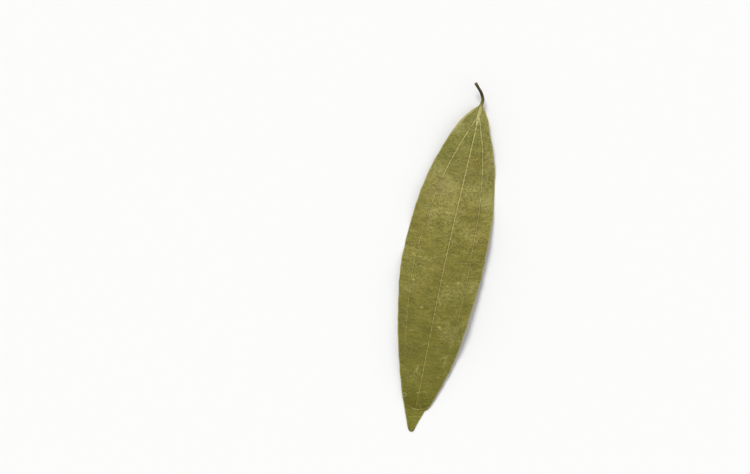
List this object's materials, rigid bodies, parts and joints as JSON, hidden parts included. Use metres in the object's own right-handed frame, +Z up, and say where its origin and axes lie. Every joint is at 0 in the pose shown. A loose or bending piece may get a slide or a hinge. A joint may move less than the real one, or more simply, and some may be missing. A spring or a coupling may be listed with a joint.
{
  "type": "dried indian bay leaf",
  "caption": "Long pointed dried bay leaf with a midrib, a curved side vein on each half and a short hooked stalk, lying on a surface.",
  "frame": {"origin": "centre of the leaf's bounding box at the surface it lies on", "axes": "+Y along the leaf from the tip towards the stalk, +X to the right of the leaf seen from above with the stalk away from the viewer, +Z up"},
  "size_m": [0.0344, 0.1484, 0.006],
  "materials": {
    "dried_leaf": "matte to satin dried leaf, olive green with paler veins"
  },
  "bodies": {
    "root": {"bay_leaf": "dried_leaf"}
  },
  "joints": []
}
